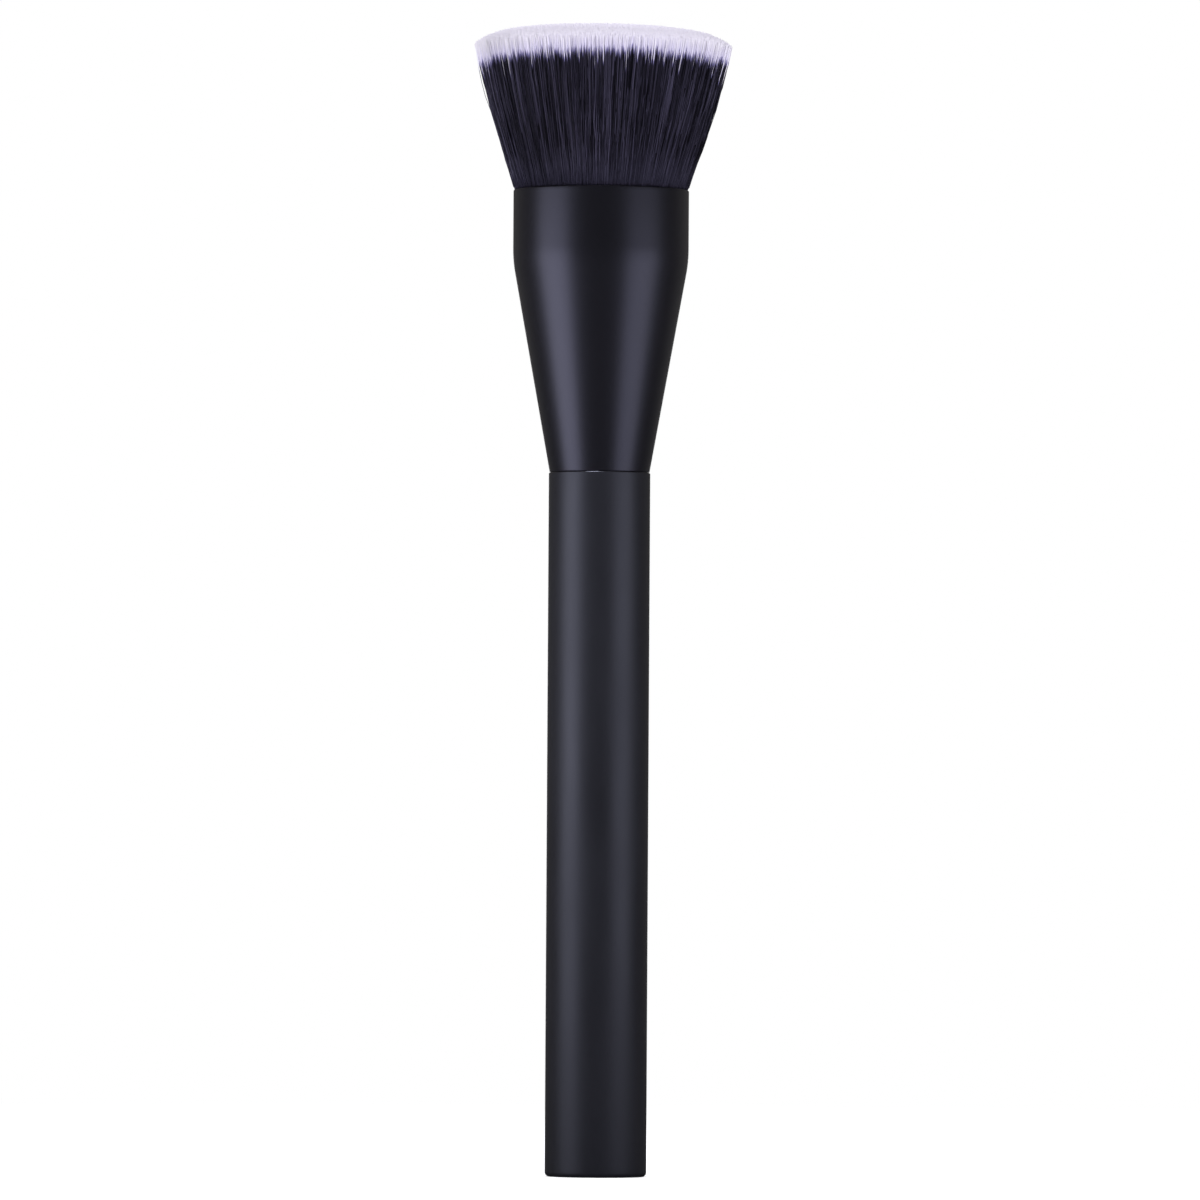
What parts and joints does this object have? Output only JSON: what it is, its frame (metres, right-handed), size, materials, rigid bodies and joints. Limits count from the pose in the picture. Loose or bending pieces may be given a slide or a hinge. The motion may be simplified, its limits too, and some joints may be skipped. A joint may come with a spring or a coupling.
{
  "type": "kabuki makeup brush",
  "caption": "Flat-top kabuki makeup brush with a straight round handle, a bell-shaped metal ferrule and a dense flared tuft of dark filaments with pale tips, for buffing powder onto skin.",
  "frame": {"origin": "centre of the flat butt end of the handle, which the brush can stand on", "axes": "+Z along the brush's axis from the handle to the tips of the tuft, X and Y across it"},
  "size_m": [0.0366, 0.0366, 0.1646],
  "materials": {
    "handle_lacquer": "matte",
    "ferrule_black": "satin",
    "adhesive": "satin",
    "cup_aluminium": "satin",
    "potting_resin": "gloss",
    "bristle_dark": "matte",
    "bristle_pale": "matte"
  },
  "bodies": {
    "root": {"handle": "handle_lacquer", "ferrule": "ferrule_black", "ferrule_glue": "adhesive", "tuft_cup": "cup_aluminium", "root_resin": "potting_resin", "bristle_core": "bristle_dark", "bristle_locks": "bristle_dark", "tip_core": "bristle_pale", "tip_locks": "bristle_pale", "crown_locks": "bristle_pale"}
  },
  "joints": []
}
